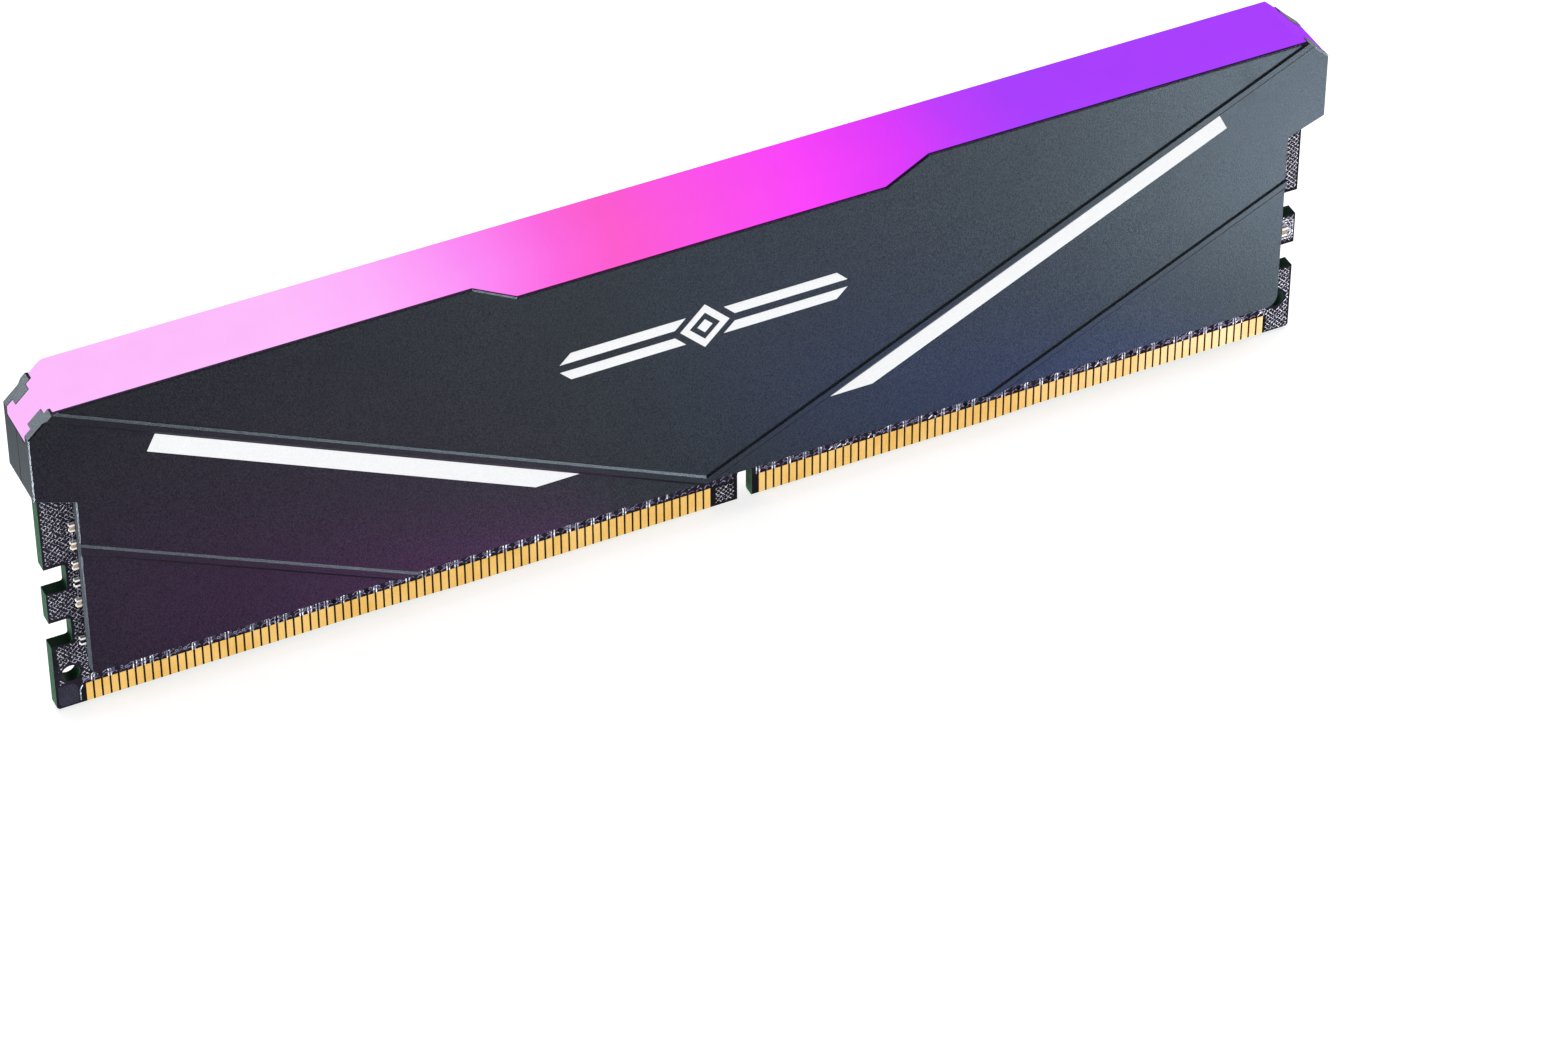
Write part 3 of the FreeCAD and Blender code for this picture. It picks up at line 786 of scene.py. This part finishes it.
def copper(face_name, turn):
    """All the copper drawing on one face of the board."""
    parts = soldered(face_name)
    on_front = face_name == "front"

    def relief(rise=1.0):
        return Relief(BOARD_FACE, TRACK_FOOT, TRACK_HEIGHT * rise, turn)

    tracks = relief()
    network = face_name + "_resistor_network"
    networks = [(low[0] + high[0]) / 2 for low, high in solids(network + "_bodies")]
    terminals = solids(network + "_terminals")
    bottom = min(low[2] for low, high in terminals)
    top = max(high[2] for low, high in terminals)
    for x in networks:
        network_tracks(tracks, x, bottom, top)
    singles = []
    if on_front:
        singles = [(low[0] + high[0]) / 2 for low, high in solids("front_resistor_bodies")
                   if low[0] > COLUMN_SIDE]
        front_tracks(tracks, singles)

    taken = [(x - 1.35 * MM, x + 1.35 * MM) for x in networks]
    taken += [(x - 0.6 * MM, x + 0.6 * MM) for x in singles]

    def hatched(x, z):
        if not bare_board(x, z, parts, 0.14 * MM) or in_pour(x, z):
            return False
        if abs(x) > END_FIELD or in_key_field(x) and z < PAD_TOP:
            return True
        if not HATCH_ROW[0] < z < HATCH_ROW[1] or on_front and BUS[0] < x < BUS[1]:
            return False
        return not any(a < x < b for a, b in taken) or PATCH[0] < x < PATCH[1] and z < PATCH[2]

    dim = relief(0.8)
    leads(tracks, dim, taken, parts)
    tracks.finish(face_name + "_board_tracks", TRACK, "circuit_board")
    dim.finish(face_name + "_board_leads_tracks", LEADS, "circuit_board")

    hatching = relief()
    hatching.hatch((board_low.x, board_high.x, *HATCH_FROM_TO), hatched, HATCH_PITCH, HATCH_WIDTH)
    hatching.finish(face_name + "_board_hatching", HATCHING, "circuit_board")

    pour = relief()
    pour_corner(pour)
    pour.finish(face_name + "_board_pour", POUR, "circuit_board")

    vias = relief(1.2)
    via_rings(vias, parts, networks + singles)
    vias.finish(face_name + "_board_vias", SILK, "tinned_metal")


copper("front", 1)
copper("back", -1)


# --- Solder fillets -----------------------------------------------------------------------------

# The skirt's profile: height as a share of the terminal's thickness, and reach. It starts a
# little inside the board.
FILLET = ((-0.06, 0.10 * MM), (0.0, 0.10 * MM), (0.18, 0.055 * MM), (0.42, 0.022 * MM),
          (0.72, 0.004 * MM))
FULL_THICKNESS = 0.4 * MM              # thinner terminals get a smaller skirt


def fillets(face_name, turn):
    """A concave skirt of solder round each terminal."""
    bm = bmesh.new()
    for node_name in frame["nodes"]:
        if not (node_name.startswith(face_name) and node_name.endswith("_terminals")):
            continue
        for low, high in solids(node_name):
            thickness = high[1] - low[1]
            rings = []
            for share, reach in FILLET:
                y = -turn * (BOARD_FACE + share * thickness)
                grow = reach * min(1.0, thickness / FULL_THICKNESS)
                corners = ((low[0] - grow, low[2] - grow), (high[0] + grow, low[2] - grow),
                           (high[0] + grow, high[2] + grow), (low[0] - grow, high[2] + grow))
                rings.append([bm.verts.new((x, y, z)) for x, z in corners])
            bm.faces.new(rings[0])
            bm.faces.new(rings[-1])
            for a, b in zip(rings, rings[1:]):
                for k in range(4):
                    n = (k + 1) % 4
                    bm.faces.new((a[k], a[n], b[n], b[k]))
    add_piece(bm, face_name + "_solder_fillets", SOLDER)


fillets("front", 1)
fillets("back", -1)


# --- Floor, light and camera --------------------------------------------------------------------

def floor():
    """A wide white table, lit from inside; the lights under it shine through."""
    mesh = bpy.data.meshes.new("studio_floor")
    half = 3.0
    mesh.from_pydata([(-half, -half, 0), (half, -half, 0), (half, half, 0), (-half, half, 0)],
                     [], [(0, 1, 2, 3)])
    s = Shader("pale_floor")
    tone = s.noise(0.05, 3.0, 0.5)
    colour = s.mix(s.spread(tone, 0.3, 0.7, 0.0, 1.0), (0.44, 0.44, 0.44, 1), (0.46, 0.46, 0.46, 1))
    s.set(Base_Color=colour, Roughness=0.8, Specular_IOR_Level=0.1,
          Emission_Color=WHITE, Emission_Strength=0.78)
    mesh.materials.append(s.mat)
    piece = bpy.data.objects.new("studio_floor", mesh)
    bpy.context.scene.collection.objects.link(piece)
    piece.location.z = cad_low.z
    piece.visible_shadow = False
    piece.visible_glossy = False


def light_group(name, words):
    """The pieces a light is kept to: those with one of the words in their name."""
    group = bpy.data.collections.new(name)
    for piece in bpy.context.scene.objects:
        if piece.type == "MESH" and any(word in piece.name for word in words):
            group.objects.link(piece)
    return group


floor()
SHELLS = light_group("shells", ("heat_spreader",))
METALS = light_group("metals", ("contacts", "terminals", "fillets", "tracks", "hatching", "vias"))
CONTACTS = light_group("contacts", ("contacts",))
COPPER = light_group("copper", ("tracks", "hatching", "vias"))
PRINTS = light_group("prints", ("printed",))
BOARD_PARTS = light_group("board_parts", (
    "contacts", "terminals", "fillets", "board", "pcb", "bodies", "chip", "eeprom", "driver",
    "thermal", "rgb_led"))
TABLE = light_group("table", ("studio_floor",))


def softbox(name, place, target, size, power, only, colour=(1.0, 1.0, 1.0)):
    """A soft rectangular light, aimed at target, that lights one group of pieces only."""
    light = bpy.data.lights.new(name, "AREA")
    light.shape = "RECTANGLE"
    light.size, light.size_y = size
    light.energy = power
    light.color = colour
    lamp = bpy.data.objects.new(name, light)
    lamp.location = place
    way = Vector(target) - Vector(place)
    lamp.rotation_euler = way.to_track_quat("-Z", "Y").to_euler()
    lamp.visible_camera = False
    lamp.light_linking.receiver_collection = only
    bpy.context.scene.collection.objects.link(lamp)


middle = (cad_low + cad_high) / 2
left_end = (-0.065, 0.0, 0.02)
behind_left = (-0.12, 0.20, -0.16)
behind_right = (0.34, 0.42, -0.12)
under_front = (0.16, -0.36, -0.32)
wide = (0.5, 0.5)

softbox("top_softbox", (0.1, 0.15, 0.9), (0.0, 0.0, 0.0), (1.0, 1.0), 11.0, TABLE)
softbox("left_softbox", (-0.60, -0.15, -0.25), middle, (0.4, 0.4), 5.0, BOARD_PARTS)
softbox("board_edge_light", behind_left, left_end, (0.15, 0.15), 0.14, BOARD_PARTS)
softbox("front_softbox_left", (-0.35, -0.85, -0.05), middle, wide, 5.6, BOARD_PARTS)
softbox("front_softbox_right", (0.35, -0.85, -0.05), middle, wide, 3.0, BOARD_PARTS)
softbox("print_light", (0.0, -0.9, 0.25), middle, (0.6, 0.6), 5.6, PRINTS)
softbox("print_light_back", (0.0, 0.9, 0.25), middle, (0.6, 0.6), 4.5, PRINTS)
softbox("back_softbox", (0.35, 0.85, -0.05), middle, wide, 4.0, BOARD_PARTS)
softbox("back_shell_light", behind_right, middle, wide, 0.9, SHELLS)
softbox("back_metal_light", behind_right, middle, wide, 0.5, METALS)
# More lights for the shells: two from behind for the tabs and the end flange, one close to the
# left edge, one from the right for the ribs, and others under the table, which show in the plates'
# reflection. The metal parts have three under the table too.
softbox("tab_light", (-0.45, 0.55, 0.35), middle, (0.4, 0.4), 8.0, SHELLS)
softbox("flange_light", behind_left, left_end, (0.15, 0.15), 0.03, SHELLS, (0.85, 1.0, 1.0))
softbox("edge_light", (-0.095, -0.003, 0.006), (-0.0637, -0.003, 0.006), (0.003, 0.003), 0.055,
        SHELLS)
softbox("rib_light", (0.42, -0.115, 0.12), middle, (0.14, 0.14), 3.0, SHELLS)
softbox("table_light_wide", under_front, middle, wide, 0.06, SHELLS)
softbox("table_light_right", (0.099, -0.058, -0.014), (0.066, 0.0, 0.033), (0.03, 0.03), 0.055,
        SHELLS, (0.86, 0.95, 1.0))
softbox("table_light_middle", (0.05, -0.146, -0.05), (-0.016, 0.0, 0.06), (0.07, 0.07), 0.056,
        SHELLS)
softbox("table_light_pink", (-0.0335, -0.016, -0.0045), (-0.038, -0.003, 0.007), (0.055, 0.006),
        0.0024, SHELLS, (1.0, 0.0, 0.8))
softbox("table_light_blue", (0.038, -0.016, -0.0045), (0.032, -0.003, 0.007), (0.055, 0.006),
        0.0032, SHELLS, (0.05, 0.15, 1.0))
softbox("table_light_metal", under_front, (0.0, 0.0, 0.0), wide, 0.5, METALS)
softbox("table_light_end", (0.099, -0.058, -0.045), (0.066, 0.0, 0.004), (0.04, 0.04), 0.017,
        CONTACTS, (0.32, 0.36, 1.0))
softbox("table_light_end_board", (0.099, -0.058, -0.03), (0.066, 0.0, 0.022), (0.03, 0.03), 0.02,
        COPPER)

world = bpy.data.worlds.new("studio_world")
bpy.context.scene.world = world
world.use_nodes = True
background = world.node_tree.nodes["Background"]
background.inputs["Color"].default_value = WHITE
background.inputs["Strength"].default_value = 0.13

# The photograph's viewpoint: place, and the picture's right and up directions.
CAMERA_PLACE = Vector((-0.191245, -0.412653, 0.389304))
CAMERA_RIGHT = Vector((0.898584, -0.438788, 0.003480))
CAMERA_UP = Vector((0.282848, 0.585265, 0.759909))
camera_data = bpy.data.cameras.new("camera")
camera_data.sensor_width = 36.0
camera_data.lens = 141.15
camera_data.shift_x = -0.01513
camera_data.shift_y = -0.01339
camera_data.clip_start = 0.01
camera = bpy.data.objects.new("camera", camera_data)
bpy.context.scene.collection.objects.link(camera)
camera_turn = Matrix((CAMERA_RIGHT, CAMERA_UP, CAMERA_RIGHT.cross(CAMERA_UP))).transposed()
camera.matrix_world = Matrix.Translation(CAMERA_PLACE) @ camera_turn.to_4x4()
bpy.context.scene.camera = camera
bpy.context.scene.view_settings.view_transform = "Standard"
